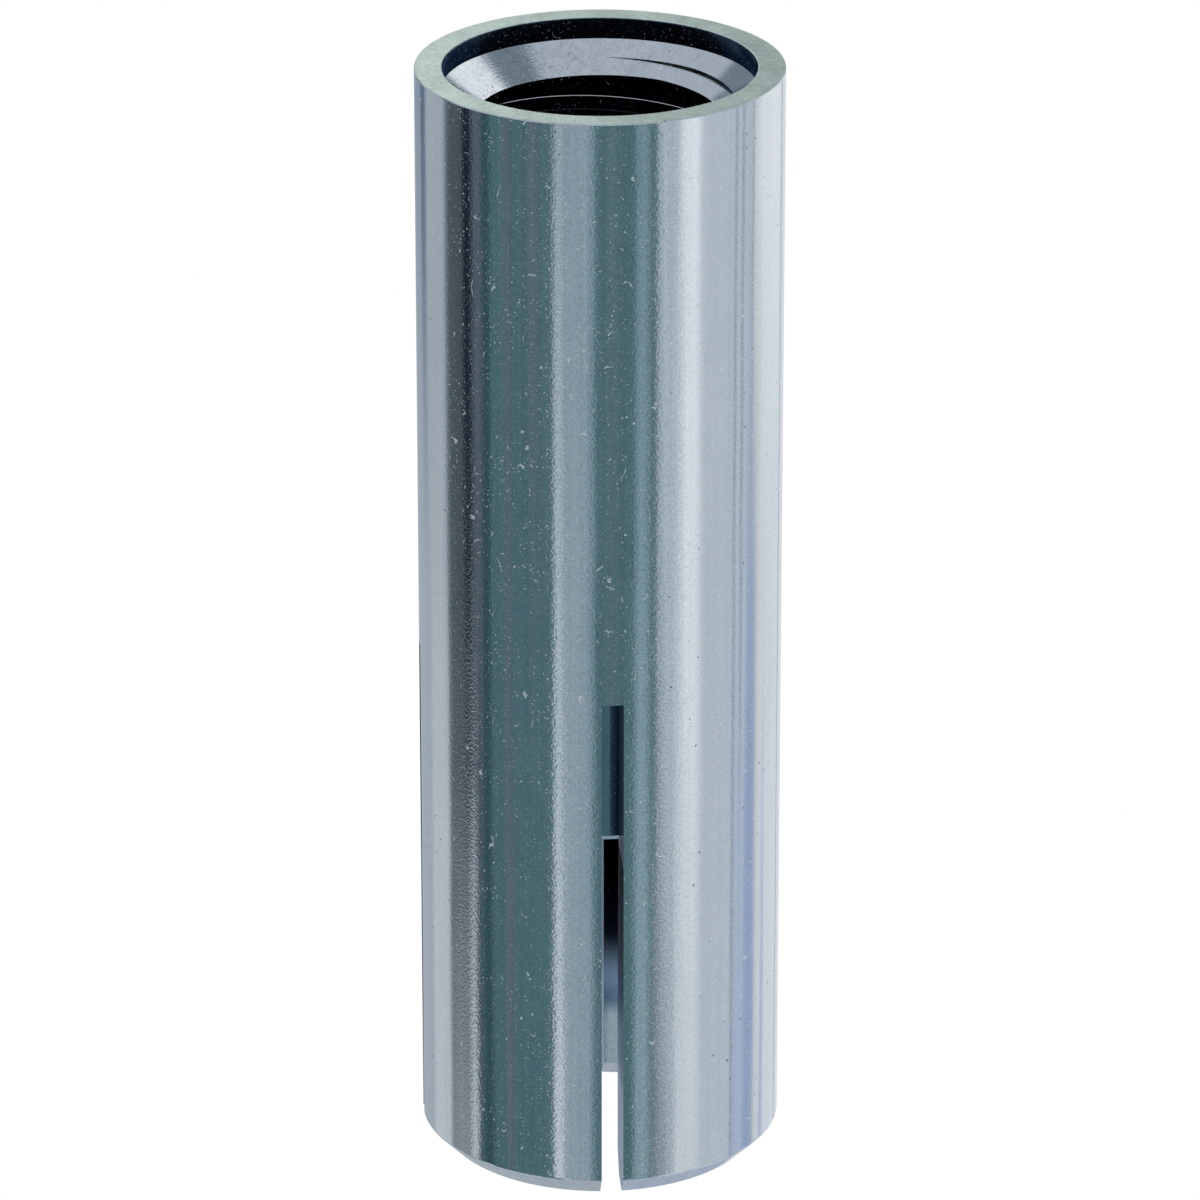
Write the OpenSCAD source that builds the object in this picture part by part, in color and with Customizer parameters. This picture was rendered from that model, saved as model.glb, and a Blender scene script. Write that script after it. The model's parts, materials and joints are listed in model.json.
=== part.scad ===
// Drop in anchor for concrete: a slotted steel sleeve with an internal thread at its mouth
// and a loose expander plug inside. It stands on its slotted foot, which is at z = 0, with
// the sleeve's axis on Z. Lengths are in millimetres.

/* [Sleeve] */
// Outside diameter of the sleeve, a close fit in its drilled hole
sleeve_d = 15.9; // [14:0.1:20]
// Overall length from the foot to the rim
sleeve_len = 50; // [44:0.5:70]
// Outside chamfer round the foot
foot_chamfer = 1; // [0.2:0.1:1.4]
// Inside chamfer round the foot
foot_bevel = 0.9; // [0.2:0.1:1.4]

/* [Mouth] */
// Width of the flat rim round the mouth
rim_w = 1.2; // [0.6:0.1:1.6]
// Depth of the straight mouth below the rim
mouth_depth = 0.95; // [0.5:0.05:2]
// Depth of the countersink that leads into the thread
sink_depth = 1.2; // [0.6:0.1:2]

/* [Thread] */
// Bore of the threaded stretch, at the crests of an M12 thread
thread_bore_d = 10.6; // [9:0.1:11]
// Length of the threaded stretch
thread_len = 18; // [12:0.5:24]
// Height of the cone where the threaded stretch meets the plug's chamber
shoulder_h = 0.4; // [0.2:0.1:1]

/* [Expander plug] */
// Gap at each side by which the plug drops past the thread
plug_drop_gap = 0.55; // [0.2:0.05:1]
// Length of the plug
plug_len = 12; // [8:0.5:14]
// Chamfer at both ends of the plug
plug_chamfer = 0.3; // [0.1:0.1:0.8]
// Gap at each side between the plug and its chamber
plug_clearance = 0.05; // [0.02:0.01:0.1]
// Height of the seat where the plug waits, above the foot
seat_z = 16.2; // [12:0.1:20]

/* [Expansion taper] */
// How far the bore narrows below the seat, at each side
taper_step = 0.35; // [0.1:0.05:0.8]
// Length over which the bore narrows
taper_len = 5; // [3:0.5:10]

/* [Slots] */
// Saw cuts across the sleeve, each making two slots
slot_cuts = 2; // [1:1:3]
// Width of a saw cut
slot_w = 0.95; // [0.6:0.05:2]
// Length of the slots above the foot
slot_len = 23.7; // [16:0.1:28]

/* [Hidden] */
$fn = 128;

sleeve_r = sleeve_d / 2;
mouth_r = sleeve_r - rim_w;
thread_r = thread_bore_d / 2;
plug_r = thread_r - plug_drop_gap;
chamber_r = plug_r + plug_clearance;
throat_r = chamber_r - taper_step;

mouth_z = sleeve_len - mouth_depth;
thread_top_z = mouth_z - sink_depth;
thread_end_z = thread_top_z - thread_len;
chamber_top_z = thread_end_z - shoulder_h;
throat_z = seat_z - taper_len;
plug_z = seat_z - plug_chamfer;

half_turn = 180;
// How far a saw cut runs past the sleeve on every open side
cut_overrun = 1;

// Wall of the sleeve as a half section, from the foot up the outside and down the bore
module sleeve_wall() {
    rotate_extrude()
        polygon([
            [throat_r + foot_bevel, 0],
            [sleeve_r - foot_chamfer, 0],
            [sleeve_r, foot_chamfer],
            [sleeve_r, sleeve_len],
            [mouth_r, sleeve_len],
            [mouth_r, mouth_z],
            [thread_r, thread_top_z],
            [thread_r, thread_end_z],
            [chamber_r, chamber_top_z],
            [chamber_r, seat_z],
            [throat_r, throat_z],
            [throat_r, foot_bevel]
        ]);
}

// One saw cut right across the sleeve, from below the foot to the slots' square end
module saw_cut() {
    cut_across = sleeve_d + 2 * cut_overrun;
    translate([-cut_across / 2, -slot_w / 2, -cut_overrun])
        cube([cut_across, slot_w, slot_len + cut_overrun]);
}

// Zinc plated steel sleeve with its lower half split into legs
module sleeve() {
    color([0.66, 0.72, 0.74])
        difference() {
            sleeve_wall();
            for (cut = [0:slot_cuts - 1])
                rotate(cut * half_turn / slot_cuts)
                    saw_cut();
        }
}

// Steel slug that waits at the top of the taper and spreads the legs when it is driven down
module expander_plug() {
    color([0.36, 0.42, 0.46])
        translate([0, 0, plug_z])
            rotate_extrude()
                polygon([
                    [0, 0],
                    [plug_r - plug_chamfer, 0],
                    [plug_r, plug_chamfer],
                    [plug_r, plug_len - plug_chamfer],
                    [plug_r - plug_chamfer, plug_len],
                    [0, plug_len]
                ]);
}

sleeve();
expander_plug();
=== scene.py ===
import json
import math

import bmesh
import bpy
from mathutils import Matrix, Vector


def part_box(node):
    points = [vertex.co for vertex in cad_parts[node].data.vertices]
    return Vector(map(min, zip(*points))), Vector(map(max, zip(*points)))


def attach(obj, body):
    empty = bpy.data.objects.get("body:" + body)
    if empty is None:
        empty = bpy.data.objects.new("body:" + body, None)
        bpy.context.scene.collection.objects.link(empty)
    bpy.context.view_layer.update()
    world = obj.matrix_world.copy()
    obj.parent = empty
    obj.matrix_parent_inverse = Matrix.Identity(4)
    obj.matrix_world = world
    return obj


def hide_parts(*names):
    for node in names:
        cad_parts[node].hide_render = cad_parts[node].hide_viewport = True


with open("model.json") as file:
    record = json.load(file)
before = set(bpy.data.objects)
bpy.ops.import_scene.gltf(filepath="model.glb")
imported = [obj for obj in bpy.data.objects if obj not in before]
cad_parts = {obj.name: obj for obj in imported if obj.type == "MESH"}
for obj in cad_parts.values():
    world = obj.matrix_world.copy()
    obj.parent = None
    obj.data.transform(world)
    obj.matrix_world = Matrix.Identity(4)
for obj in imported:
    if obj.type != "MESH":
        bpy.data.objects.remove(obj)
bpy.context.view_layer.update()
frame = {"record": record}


# Sleeve: a length of steel bar turned to size, bored from the mouth for the thread and the plug,
# and narrowed below the plug's seat so that the plug forces the legs apart. Sharp edges are broken.
MM = 0.001
TURN_SEGMENTS = 240
WELD_GAP = 1e-5
CORNER_REACH = 1e-3

sleeve_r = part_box("sleeve")[1].x / MM
sleeve_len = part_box("sleeve")[1].z / MM
plug_low_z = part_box("expander_plug")[0].z / MM
plug_high_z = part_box("expander_plug")[1].z / MM
plug_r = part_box("expander_plug")[1].x / MM
rod_thread = next(m for m in frame["record"]["mounts"] if m["name"] == "rod_thread")
thread_r = rod_thread["dims"]["r_mm"]
thread_len = rod_thread["dims"]["length_mm"]
thread_top_z = rod_thread["pos_m"][2] / MM + thread_len / 2
thread_end_z = thread_top_z - thread_len

rim_w = 1.2
mouth_r = sleeve_r - rim_w
mouth_depth = 0.95
mouth_z = sleeve_len - mouth_depth
shoulder_h = 0.4
plug_clearance = 0.05
chamber_r = plug_r + plug_clearance
plug_chamfer = 0.3
seat_z = plug_low_z + plug_chamfer
taper_len = 5.0
taper_step = 0.35
throat_r = chamber_r - taper_step
foot_chamfer = 1.0
foot_bevel = 0.9
broken_edge = 0.05


def turned(profile, closed, broken, edge):
    """Spins a half section of (radius, height) points round Z, and breaks the named corners."""
    work = bmesh.new()
    points = [work.verts.new((radius, 0, height)) for radius, height in profile]
    pairs = list(zip(points, points[1:]))
    if closed:
        pairs.append((points[-1], points[0]))
    lines = [work.edges.new(pair) for pair in pairs]
    bmesh.ops.spin(work, geom=points + lines, cent=(0, 0, 0), axis=(0, 0, 1), dvec=(0, 0, 0),
                   angle=math.tau, steps=TURN_SEGMENTS, use_merge=True)
    bmesh.ops.remove_doubles(work, verts=work.verts, dist=WELD_GAP)
    bmesh.ops.recalc_face_normals(work, faces=work.faces)

    def on_corner(vert, corner):
        radius = math.hypot(vert.co.x, vert.co.y)
        return math.hypot(radius - corner[0], vert.co.z - corner[1]) < CORNER_REACH

    rings = [e for e in work.edges for c in broken if all(on_corner(v, c) for v in e.verts)]
    bmesh.ops.bevel(work, geom=rings, offset=edge, offset_type="OFFSET", affect="EDGES",
                    segments=2, profile=0.5, material=-1)
    return work


def as_object(work, name):
    """Stores a bmesh as a new object of the scene and frees it."""
    mesh = bpy.data.meshes.new(name)
    work.to_mesh(mesh)
    work.free()
    made = bpy.data.objects.new(name, mesh)
    bpy.context.scene.collection.objects.link(made)
    return made


rim_outer = (sleeve_r, sleeve_len)
rim_inner = (mouth_r, sleeve_len)
foot_outer = (sleeve_r - foot_chamfer, 0)
foot_edge = (sleeve_r, foot_chamfer)
foot_inner = (throat_r + foot_bevel, 0)
sleeve_section = [
    foot_inner, foot_outer, foot_edge, rim_outer, rim_inner,
    (mouth_r, mouth_z), (thread_r, thread_top_z), (thread_r, thread_end_z),
    (chamber_r, thread_end_z - shoulder_h), (chamber_r, seat_z),
    (throat_r, seat_z - taper_len), (throat_r, foot_bevel),
]
sharp_corners = [rim_outer, rim_inner, foot_outer, foot_edge, foot_inner]
sleeve = as_object(turned(sleeve_section, True, sharp_corners, broken_edge), "slotted_sleeve")


# Thread: a right-hand M12 thread, tapped from the mouth. Its groove runs out on the countersink, where
# the first turn shows as a thin dark crescent, shadowed in the groove and painted shade where it dips
# below the top of the thread, and it stops short of the plug's chamber. The root is eased towards the
# lower flank, which catches a line of light.
thread_pitch = 1.75
thread_major_r = 6.0
flank_slope = math.tan(math.radians(30))
groove_root = thread_pitch / 8
crest_break = 0.05
root_break = 0.016
root_tilt = math.radians(25)
root_run = root_break / (math.cos(root_tilt) / math.sin(root_tilt) - flank_slope)
tap_overlap = 0.3
tap_inner_r = thread_r - tap_overlap
steps_per_turn = 100
groove_start_angle = math.radians(89)
groove_start_z = 48.54
lead_in_turns = 0.5
plain_end = 0.55
tap_top_z = groove_start_z + lead_in_turns * thread_pitch
tap_end_z = thread_end_z + plain_end
tap_turns = (tap_top_z - tap_end_z) / thread_pitch

half_root = groove_root / 2
half_open = half_root + (thread_major_r - thread_r - crest_break) * flank_slope
half_wide = half_open + thread_r + crest_break - tap_inner_r
tooth = [
    (thread_major_r, half_root),
    (thread_major_r, root_break - half_root),
    (thread_major_r - root_run, -half_root - root_run * flank_slope),
    (thread_r + crest_break, -half_open),
    (tap_inner_r, -half_wide),
    (tap_inner_r, half_wide),
    (thread_r + crest_break, half_open),
]
tap = bmesh.new()
tap.faces.new([tap.verts.new((radius, 0, tap_top_z + height)) for radius, height in tooth])
bmesh.ops.rotate(tap, verts=tap.verts, cent=(0, 0, 0),
                 matrix=Matrix.Rotation(groove_start_angle + lead_in_turns * math.tau, 3, "Z"))
tap_steps = round(tap_turns * steps_per_turn)
bmesh.ops.spin(tap, geom=tap.verts[:] + tap.edges[:] + tap.faces[:], cent=(0, 0, 0), axis=(0, 0, 1),
               angle=-tap_steps * math.tau / steps_per_turn, steps=tap_steps,
               dvec=(0, 0, -thread_pitch / steps_per_turn))
bmesh.ops.recalc_face_normals(tap, faces=tap.faces)
cutters = [as_object(tap, "tap_cutter")]


# Slots: two saw cuts that cross on the axis and leave four legs. Each cut runs out through the foot
# and has a square upper end. The saw's sides are parted level with the plug's lower end, because the
# slot's painted shade changes there: below it the sawn sides darken up the cut, and beside the plug
# they take the bore's painted black.
slot_w = 0.95
slot_len = 23.7
saw_overrun = 2.0
saw_size = (2 * sleeve_r + saw_overrun, slot_w, slot_len + saw_overrun)
for turn in (0, math.pi / 2):
    saw = bmesh.new()
    bmesh.ops.create_cube(saw, size=1)
    bmesh.ops.scale(saw, verts=saw.verts, vec=saw_size)
    bmesh.ops.translate(saw, verts=saw.verts, vec=(0, 0, (slot_len - saw_overrun) / 2))
    bmesh.ops.bisect_plane(saw, geom=saw.verts[:] + saw.edges[:] + saw.faces[:], dist=WELD_GAP,
                           plane_co=(0, 0, plug_low_z), plane_no=(0, 0, 1))
    bmesh.ops.rotate(saw, verts=saw.verts, cent=(0, 0, 0), matrix=Matrix.Rotation(turn, 3, "Z"))
    cutters.append(as_object(saw, "saw_cutter"))

for cutter in cutters:
    cut = sleeve.modifiers.new("cut", "BOOLEAN")
    cut.operation = "DIFFERENCE"
    cut.solver = "EXACT"
    cut.object = cutter
shaped = sleeve.evaluated_get(bpy.context.evaluated_depsgraph_get())
cut_mesh = bpy.data.meshes.new_from_object(shaped)
sleeve.modifiers.clear()
sleeve.data = cut_mesh
for cutter in cutters:
    bpy.data.objects.remove(cutter)


# Zinc plate: bright electroplated zinc, with a fine grain that breaks up the edges of reflections, long
# streaks from drawing the bar, pits, specks of dust and a few hairline scratches. Each kind of surface
# has a finish of its own, because the rim is faced and the slots are sawn, and because the bore, the
# slots and the mouth's wall are darkened with painted shade.
dust_dark = (0.36, 0.39, 0.43, 1)
dust_pale = (0.82, 0.86, 0.90, 1)
pit_dark = (0.13, 0.15, 0.18, 1)
plate_pale = (0.89, 0.91, 0.93, 1)
plate_shade = (0.66, 0.70, 0.73, 1)
rim_pale = (0.84, 0.91, 0.86, 1)
rim_shade = (0.60, 0.67, 0.62, 1)
painted_shade_blue = (0.24, 0.34, 0.46, 1)
painted_shade_black = (0.012, 0.015, 0.022, 1)
slot_pale = (0.96, 0.97, 0.99, 1)
slot_shade = (0.80, 0.84, 0.87, 1)
slot_painted_shade_grey = (0.48, 0.51, 0.58, 1)
mouth_painted_shade_blue = (0.10, 0.14, 0.20, 1)
mouth_painted_shade_dark = (0.05, 0.08, 0.13, 1)
navy_glance = (0.34, 0.41, 0.52, 1)
pale_glance = (0.62, 0.76, 0.90, 1)
grey_glance = (0.70, 0.77, 0.87, 1)
white = (1, 1, 1, 1)
draw_stretch = (1, 1, 0.008)
ragged_reach = 1.6e-4
streak_share = 0.36
rubbed_share = 0.6
dust_rise = 3
dent_height = 4.0e-5


class Wire:
    """A socket in a node tree. Sums and products of wires add Math nodes to that tree."""

    def __init__(self, tree, socket=None):
        self.tree = tree
        self.socket = socket

    def node(self, kind, settings, inputs, output=0):
        """Adds a node, sets it up, and gives back one of its outputs."""
        made = self.tree.nodes.new(kind)
        for name, value in settings.items():
            setattr(made, name, value)
        for name, value in inputs.items():
            if isinstance(value, Wire):
                self.tree.links.new(value.socket, made.inputs[name])
            else:
                made.inputs[name].default_value = value
        return Wire(self.tree, made.outputs[output] if made.outputs else None)

    def other(self, output):
        """Another output of the node that this socket belongs to."""
        return Wire(self.tree, self.socket.node.outputs[output])

    def maths(self, operation, *others):
        """The result of a Math node that has this value and the others as its inputs."""
        return self.node("ShaderNodeMath", {"operation": operation}, dict(enumerate((self, *others))))

    def __add__(self, other):
        return self.maths("ADD", other)

    def __sub__(self, other):
        return self.maths("SUBTRACT", other)

    def __rsub__(self, other):
        return self * -1 + other

    def __mul__(self, other):
        return self.maths("MULTIPLY", other)

    def __gt__(self, other):
        return self.maths("GREATER_THAN", other)

    def __lt__(self, other):
        return self.maths("LESS_THAN", other)

    def __abs__(self):
        return self.maths("ABSOLUTE")

    def ramp(self, low, high):
        """Rises smoothly from 0 to 1 as this value goes from low to high."""
        return self.node("ShaderNodeMapRange", {"interpolation_type": "SMOOTHSTEP"},
                         {"Value": self, "From Min": low, "From Max": high})

    def tint(self, under, over):
        """Mixes two colours, with this value as the share of the second."""
        return self.node("ShaderNodeMix", {"data_type": "RGBA"}, {0: self, 6: under, 7: over}, 2)


def begin(name):
    """A new material with an empty tree, and a wire to start that tree from."""
    made = bpy.data.materials.new(name)
    made.use_nodes = True
    made.node_tree.nodes.clear()
    return made, Wire(made.node_tree)


def noise(place, scale, detail=1, roughness=0.5):
    """A cloudy value about 0.5, with scale as the number of clouds in a metre."""
    return place.node("ShaderNodeTexNoise", {}, {"Vector": place, "Scale": scale, "Detail": detail,
                                                 "Roughness": roughness})


def specks(place, scale, share, size, smallest=0.4, soft=0.3):
    """Round spots of mixed size in a share of the cells of a Voronoi pattern."""
    near = place.node("ShaderNodeTexVoronoi", {}, {"Vector": place, "Scale": scale})
    lot = place.node("ShaderNodeSeparateColor", {}, {"Color": near.other(1)})
    radius = lot.other(1) * (size * (1 - smallest)) + size * smallest
    return (radius - near).ramp(0, size * soft) * (lot > 1 - share)


def scratches(place, scale, width, patch_scale, patch_bar):
    """Curved lines where a smooth noise passes its middle, left only in scattered patches."""
    line = abs(noise(place, scale, roughness=0.4) - 0.5) < width
    return line * (noise(place, patch_scale) > patch_bar)


def zinc_plate(name, colour, shade, roughness, grain_height, depths=(), glance=white,
               bare=0.25, dust_floor=0.0, sand=0.5, crown=0.0, flanks=()):
    """Depths are pairs of heights, and the colour that the plate turns to between each pair.

    Glance is the colour of what the plate mirrors when it is seen edge on, bare is the share of dust
    between the dusty patches, dust_floor is the height below which no dust has come to rest, sand is
    the share of fine grit in the shade of the metal, and crown is the slope of a faced end outwards.
    Flanks are pairs of X between which the grain dies away, where the plate has been rubbed smooth.
    """
    made, start = begin(name)
    place = start.node("ShaderNodeTexCoord", {}, {}, 3)
    across = start.node("ShaderNodeSeparateXYZ", {}, {"Vector": place})
    deep = across.other(1)
    height = across.other(2)
    drawn = start.node("ShaderNodeMapping", {}, {"Vector": place, "Scale": draw_stretch})
    streaks = noise(drawn, 3200, detail=3, roughness=0.65)
    cloud = noise(place, 520, detail=4, roughness=0.6)
    pepper = noise(place, 9000, detail=2, roughness=0.7)

    # Dust and flecks lie in patches, between pits and scratches. None of them is quite round.
    shake = noise(place, 5000).other(1)
    ragged = start.node("ShaderNodeVectorMath", {"operation": "MULTIPLY_ADD"},
                        {0: shake, 1: (ragged_reach, ragged_reach, ragged_reach), 2: place})
    dust = specks(ragged, scale=7500, share=0.80, size=0.30) * 0.8
    fleck = specks(ragged, scale=2700, share=0.70, size=0.13) * 0.9
    patchy = noise(place, 380, detail=3, roughness=0.65).ramp(0.47, 0.60) * (1 - bare) + bare
    hair = scratches(place, scale=300, width=0.0025, patch_scale=900, patch_bar=0.68)
    nick = scratches(place, scale=1400, width=0.018, patch_scale=1900, patch_bar=0.69)
    pale = (dust.maths("MAXIMUM", fleck) * patchy).maths("MAXIMUM", hair.maths("MAXIMUM", nick) * 0.5)
    if dust_floor:
        pale = pale * height.ramp(dust_floor * MM, (dust_floor + dust_rise) * MM)
    pit_patches = noise(place, 420, detail=2).ramp(0.47, 0.53)
    pit = specks(ragged, scale=1900, share=0.90, size=0.12) * pit_patches
    mark = pale.maths("MAXIMUM", pit)

    # The metal itself is shaded by streaks, clouds and grit, and its grain tilts what it mirrors.
    mixed = streaks * streak_share + cloud * (1 - streak_share - sand) + pepper * sand
    grain = noise(place, 8500) + noise(place, 3000) * 0.15 + streaks * 0.25
    for near_x, far_x in flanks:
        kept = 1 - across.ramp(near_x * MM, far_x * MM) * rubbed_share
        mixed = (mixed - 0.5) * kept + 0.5
        grain = grain * kept
    metal = mixed.ramp(0.36, 0.64).tint(shade, colour)
    # Depths paint shade by height: past each pair of heights the plate turns to the given colour.
    for low, high, depth_colour in depths:
        metal = height.ramp(low * MM, high * MM).tint(metal, depth_colour)
    dusted = pale.tint(metal, pepper.ramp(0.4, 0.6).tint(dust_dark, dust_pale))
    relief = grain * grain_height + noise(place, 110) * dent_height
    if crown:
        relief = relief - (across * across + deep * deep).maths("SQRT") * crown
    normal = start.node("ShaderNodeBump", {}, {"Strength": 1.0, "Distance": 1.0, "Height": relief})
    surface = start.node("ShaderNodeBsdfPrincipled", {}, {
        "Base Color": pit.tint(dusted, pit_dark),
        "Metallic": 1 - mark * 0.9,
        "Roughness": mark * 0.45 + cloud * 0.06 + roughness,
        "Normal": normal,
        "Specular Tint": glance,
    })
    start.node("ShaderNodeOutputMaterial", {}, {"Surface": surface})
    return made


bright_zinc = zinc_plate("bright_zinc", plate_pale, plate_shade, roughness=0.07, grain_height=4.0e-6,
                         flanks=[(2.4, 3.6), (-6.6, -7.1)])
faced_rim = zinc_plate("faced_rim", rim_pale, rim_shade, roughness=0.45, grain_height=5.0e-6,
                       sand=0.2, crown=0.10)
# Painted shade in the bore: blue just above the foot, black further in, pale again above the thread.
bore_painted_depths = [
    (3.2, 4.2, painted_shade_blue),
    (4.8, 7.5, painted_shade_black),
    (thread_top_z, thread_top_z + 0.15, plate_pale),
]
dark_bore = zinc_plate("dark_bore", plate_pale, plate_shade, roughness=0.14, grain_height=4.0e-6,
                       depths=bore_painted_depths, glance=navy_glance, bare=0.35, dust_floor=thread_end_z)
# Painted shade in the slots: grey just above the foot, then black towards the closed end of the cut.
slot_painted_depths = [
    (4.4, 6.0, slot_painted_shade_grey),
    (13.0, 16.0, painted_shade_black),
]
sawn_slot = zinc_plate("sawn_slot", slot_pale, slot_shade, roughness=0.30, grain_height=4.0e-6,
                       depths=slot_painted_depths, glance=grey_glance)
# Painted shade: the mouth's wall is painted near black and blue, for the dark bore that it mirrors.
mouth_wall = zinc_plate("mouth_wall", mouth_painted_shade_blue, mouth_painted_shade_dark, roughness=0.14, grain_height=4.0e-6,
                        glance=pale_glance, bare=0.45)

finishes = [bright_zinc, faced_rim, dark_bore, sawn_slot, mouth_wall]
sink_slope = (mouth_z - thread_top_z) / (mouth_r - thread_r)
sink_skin = 0.004
first_turn_depth = 0.5
saw_reach = 0.01
level_up = 0.9
flank_up = 0.6
root_up = 0.3
crease_angle = math.radians(8)


def finish_of(face):
    """The finish of one face of the sleeve, from where it lies and which way it looks."""
    z = face.center.z
    radius = math.hypot(face.center.x, face.center.y)
    if z > sleeve_len - broken_edge / 4 and face.normal.z > level_up:
        return faced_rim
    # Slot sides beside the plug take the bore's painted black; below it, the slot's own painted shade.
    off_saw = abs(min(abs(face.center.x), abs(face.center.y)) - slot_w / 2)
    if z < slot_len + saw_reach and radius < sleeve_r - saw_reach and off_saw < saw_reach:
        return dark_bore if z > plug_low_z else sawn_slot
    # The mouth's wall takes its painted shade.
    if z > mouth_z and abs(radius - mouth_r) < broken_edge / 2:
        return mouth_wall
    # The eased root and the first turn's upward flank keep the bright plate, outside the painted shade.
    in_root = thread_end_z < z < thread_top_z and radius > thread_major_r - 2 * root_run
    if in_root and root_up < face.normal.z < flank_up:
        return bright_zinc
    if z > thread_top_z - first_turn_depth and radius > thread_r and face.normal.z > flank_up:
        return bright_zinc
    # The rest of the bore, down to the foot's bevel, takes the bore's painted shade.
    sink_z = thread_top_z + (radius - thread_r) * sink_slope
    if foot_bevel < z < sink_z - sink_skin and radius < thread_major_r:
        return dark_bore
    return bright_zinc


def to_metres(piece):
    """Scales a mesh from millimetres to metres, and shades it smooth between its creases."""
    piece.data.transform(Matrix.Scale(MM, 4))
    piece.data.shade_smooth()
    piece.data.set_sharp_from_angle(angle=crease_angle)


sleeve.data.materials.clear()
for finish in finishes:
    sleeve.data.materials.append(finish)
for face in sleeve.data.polygons:
    face.material_index = finishes.index(finish_of(face))
to_metres(sleeve)
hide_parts("sleeve")
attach(sleeve, "root")


# Expander plug: a short slug of drawn steel, chamfered at both ends and dropped in through the thread.
# It waits at the top of the taper and shows dark through the slots.
steel_pale = (0.48, 0.57, 0.64, 1)
steel_shade = (0.37, 0.46, 0.53, 1)
plug_section = [
    (0, plug_low_z), (plug_r - plug_chamfer, plug_low_z), (plug_r, plug_low_z + plug_chamfer),
    (plug_r, plug_high_z - plug_chamfer), (plug_r - plug_chamfer, plug_high_z), (0, plug_high_z),
]
plug = as_object(turned(plug_section, False, plug_section[1:-1], broken_edge / 2), "drawn_plug")
drawn_steel = zinc_plate("drawn_steel", steel_pale, steel_shade, roughness=0.06, grain_height=2.0e-6)
plug.data.materials.append(drawn_steel)
to_metres(plug)
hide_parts("expander_plug")
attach(plug, "root")


# Floor: a plain white lit table, so the anchor stands on a bright even ground with no shadow. It stays
# out of reflections, so the plate mirrors only the studio.
floor_half = 4.0
floor_gap = 0.02 * MM
floor_work = bmesh.new()
bmesh.ops.create_grid(floor_work, x_segments=1, y_segments=1, size=floor_half)
bmesh.ops.translate(floor_work, verts=floor_work.verts, vec=(0, 0, -floor_gap))
floor = as_object(floor_work, "table")
table_white, floor_start = begin("table_white")
glow = floor_start.node("ShaderNodeEmission", {}, {"Color": white, "Strength": 1.0})
floor_start.node("ShaderNodeOutputMaterial", {}, {"Surface": glow})
floor.data.materials.append(table_white)
floor.visible_glossy = False


# Studio: a soft dome with white cards to the right and behind, dark teal cloth across the front, and
# strip lights before it, all of which the bright plate reflects as upright bands. The camera itself
# sees plain white behind the anchor.
camera_turn = math.radians(-4)
dome = (0.43, 0.48, 0.54, 1)
ground = (0.36, 0.42, 0.48, 1)
ground_top = -60
dome_foot = -40
card_foot = -80
card_top = 10
card_soft = 2

world = bpy.data.worlds.new("studio")
bpy.context.scene.world = world
world.use_nodes = True
world.node_tree.nodes.clear()
sky = Wire(world.node_tree)
aim_x = sky.node("ShaderNodeSeparateXYZ", {}, {"Vector": sky.node("ShaderNodeTexCoord", {}, {}, 0)})
aim_y = aim_x.other(1)
aim_z = aim_x.other(2)
elevation = aim_z.maths("ARCSINE") * math.degrees(1)
ahead = aim_x * math.sin(camera_turn) - aim_y * math.cos(camera_turn)
aside = aim_x * math.cos(camera_turn) + aim_y * math.sin(camera_turn)
bearing = aside.maths("ARCTAN2", ahead) * math.degrees(1)


def card(light, left, right, edge, low, high, colour):
    """Hangs a card before the others, between two bearings and two heights in degrees.

    Bearings to the right of the camera are positive, and edge is how soft the upright edges are.
    """
    across = bearing.ramp(left - edge, left + edge) * bearing.ramp(right + edge, right - edge)
    above_foot = elevation.ramp(low - card_soft, low + card_soft)
    below_top = elevation.ramp(high + card_soft, high - card_soft)
    return (across * (above_foot * below_top)).tint(light, (*colour, 1))


light = elevation.ramp(ground_top, dome_foot).tint(ground, dome)

# A pale wall on the left, shaded in its upper half, with a dark post against it.
light = card(light, -190, -118, 5, card_foot, card_top, (0.40, 0.45, 0.50))
light = card(light, -168, -138, 3, -20, card_top, (0.28, 0.34, 0.42))
light = card(light, -149, -140, 2, -20, card_top, (0.12, 0.17, 0.24))

# Teal cloth across the front, with a dark flag over its left end that has a black and a grey stripe.
light = card(light, -112, 42, 6, card_foot, card_top, (0.082, 0.158, 0.178))
light = card(light, -112, -80, 6, card_foot, card_top, (0.078, 0.096, 0.115))
light = card(light, -95.5, -88, 1.5, -23, card_top, (0.010, 0.014, 0.026))
light = card(light, -86.5, -79.5, 1.5, -21, card_top, (0.105, 0.130, 0.168))

# Low on the left, pale cards before the flag, with a bright line and a dark gap at their right end.
light = card(light, -136, -113, 3, card_foot, -22, (0.54, 0.59, 0.63))
light = card(light, -111, -86, 3, card_foot, -24.5, (0.30, 0.34, 0.38))
light = card(light, -91.5, -86, 1, card_foot, -24.5, (0.60, 0.65, 0.70))
light = card(light, -85, -76, 1.5, card_foot, -24.5, (0.040, 0.095, 0.110))

# Folds in the cloth: a dark one, two grey ones, and a paler one to the right of the camera.
light = card(light, -79, -73, 1.5, card_foot, card_top, (0.034, 0.076, 0.090))
light = card(light, -62, -58, 1, card_foot, card_top, (0.125, 0.155, 0.185))
light = card(light, -45, -39, 2, -21, card_top, (0.140, 0.172, 0.202))
light = card(light, 2, 13, 3, card_foot, card_top, (0.106, 0.180, 0.200))

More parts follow.
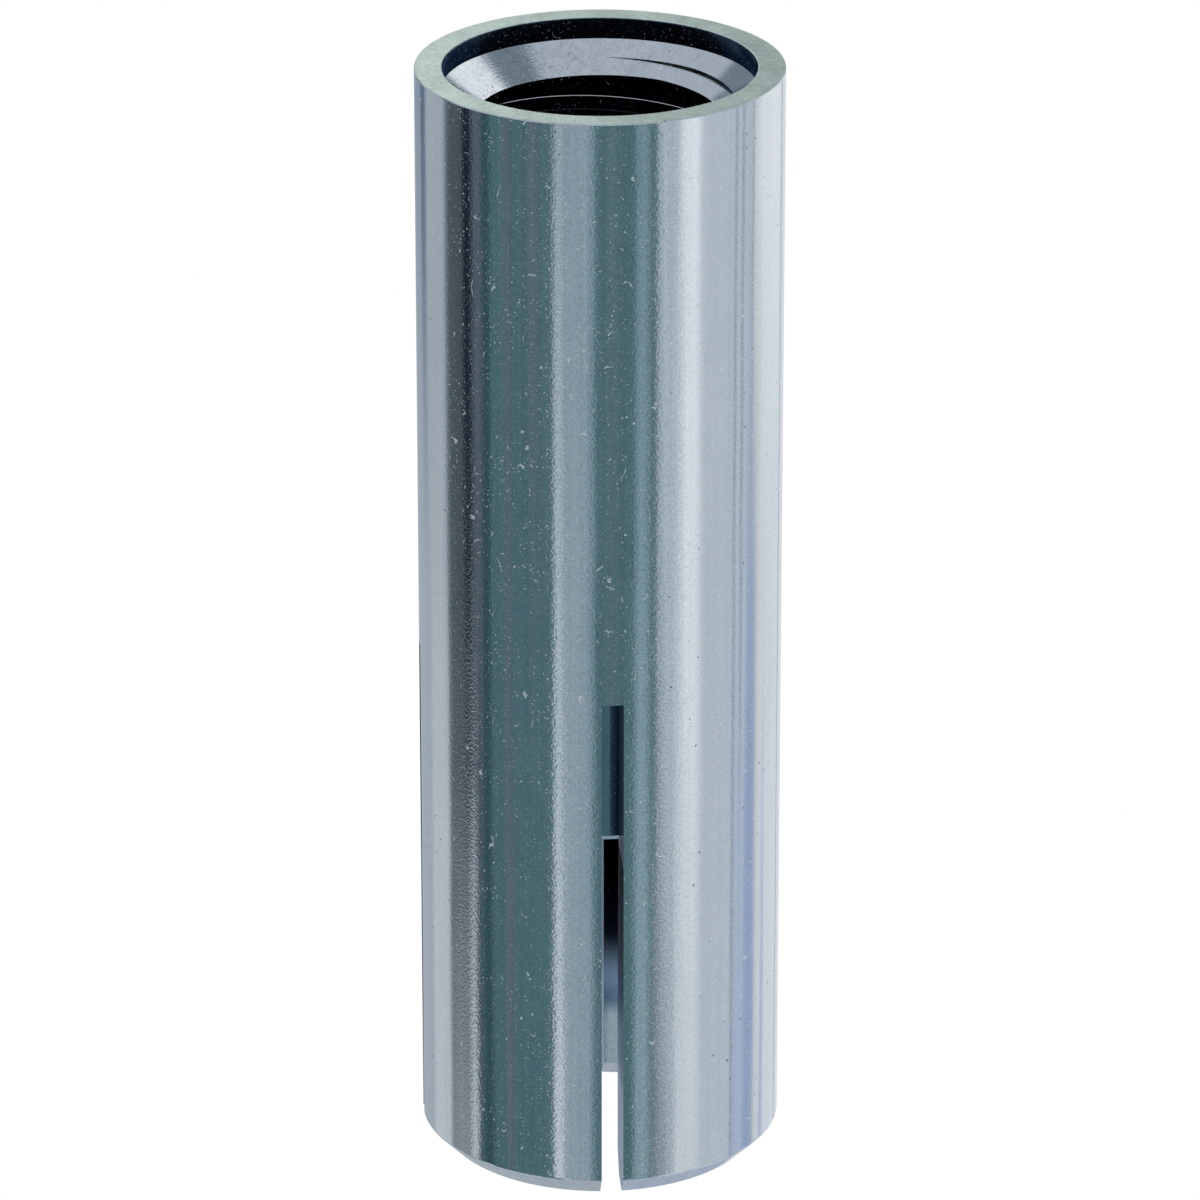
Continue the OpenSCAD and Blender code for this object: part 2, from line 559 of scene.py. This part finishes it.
# A strip light beside the camera, brighter down its left edge and dim at its right one, and a narrow
# strip to its right, brighter low down.
light = card(light, -29, -6.5, 1.5, card_foot, card_top, (0.30, 0.38, 0.43))
light = card(light, -29, -23.5, 1, card_foot, -19.5, (0.48, 0.56, 0.62))
light = card(light, -29, -24.5, 1, card_foot, -24.5, (0.74, 0.80, 0.86))
light = card(light, -6.5, -3.5, 1.5, card_foot, card_top, (0.21, 0.31, 0.355))
light = card(light, 22, 31, 2.5, card_foot, card_top, (0.205, 0.310, 0.350))
light = card(light, 22, 31, 2.5, card_foot, -22.5, (0.260, 0.375, 0.415))

# White cards down the right side. The first has a dull patch low on its left edge, and the brightest
# one is less bright low down.
light = card(light, 36.5, 190, 2.5, card_foot, card_top, (0.46, 0.53, 0.58))
light = card(light, 34, 44, 5, card_foot, -24, (0.235, 0.285, 0.32))
light = card(light, 52, 68, 5, card_foot, card_top, (0.83, 0.87, 0.92))
light = card(light, 52, 68, 5, card_foot, -24.2, (0.64, 0.67, 0.71))
light = card(light, 66, 90, 4, card_foot, card_top, (0.53, 0.59, 0.65))
light = card(light, 90, 106, 3, card_foot, card_top, (0.56, 0.62, 0.69))
light = card(light, 110, 190, 3, card_foot, card_top, (0.73, 0.77, 0.81))
light = card(light, 118, 150, 3, -20, card_top, (0.84, 0.87, 0.90))

# Low on the right, one grey and three blue cards, then four seams from top to bottom, and a dull corner.
seam_half = 0.9
seam_edge = 0.6
seam_grey = (0.24, 0.29, 0.36)
light = card(light, 113, 122, 2, card_foot, -19.5, (0.64, 0.68, 0.67))
light = card(light, 95, 117, 2, card_foot, -23.5, (0.45, 0.53, 0.69))
light = card(light, 106, 117, 2, card_foot, -21, (0.34, 0.42, 0.60))
light = card(light, 126, 131, 1.5, card_foot, -23.5, (0.45, 0.52, 0.66))
for seam, low in ((94, card_foot), (100.5, -23.5), (111, -21), (156, card_foot)):
    light = card(light, seam - seam_half, seam + seam_half, seam_edge, low, card_top, seam_grey)
light = card(light, 150, 190, 5, card_foot, -34, (0.40, 0.46, 0.56))

# Behind, above the table: a dull card on the right and a bright one on the left, for the faced rim,
# and beside them one bright and two dark cards, for the countersink.
light = card(light, 150, 190, 4, 2, 50, (0.24, 0.29, 0.29))
light = card(light, -190, -150, 4, 2, 50, (0.94, 1.02, 1.00))
light = card(light, 126, 150, 4, 10, 46, (0.84, 0.87, 0.91))
light = card(light, 100, 124, 4, 26, 66, (0.17, 0.22, 0.26))
light = card(light, -154, -134, 3, 10, 36, (0.18, 0.23, 0.27))

shown = sky.node("ShaderNodeLightPath", {}, {}, 0).tint(light, white)
background = sky.node("ShaderNodeBackground", {}, {"Color": shown, "Strength": 1.0})
sky.node("ShaderNodeOutputWorld", {}, {"Surface": background})
bpy.context.scene.view_settings.view_transform = "Standard"


# Camera: a long lens a third of a metre away, looking down on the mouth, turned so that the front slot
# stands a little to the right of the middle.
camera_reach = 318.66 * MM
camera_height = 153.77 * MM
camera_pitch = math.radians(21.94)
lens = bpy.data.cameras.new("camera")
lens.sensor_width = 36
lens.lens = 235
lens.clip_start = 0.01
camera = bpy.data.objects.new("camera", lens)
bpy.context.scene.collection.objects.link(camera)
camera.location = (
    camera_reach * math.sin(camera_turn),
    -camera_reach * math.cos(camera_turn),
    camera_height,
)
camera.rotation_euler = (math.pi / 2 - camera_pitch, 0, camera_turn)
bpy.context.scene.camera = camera
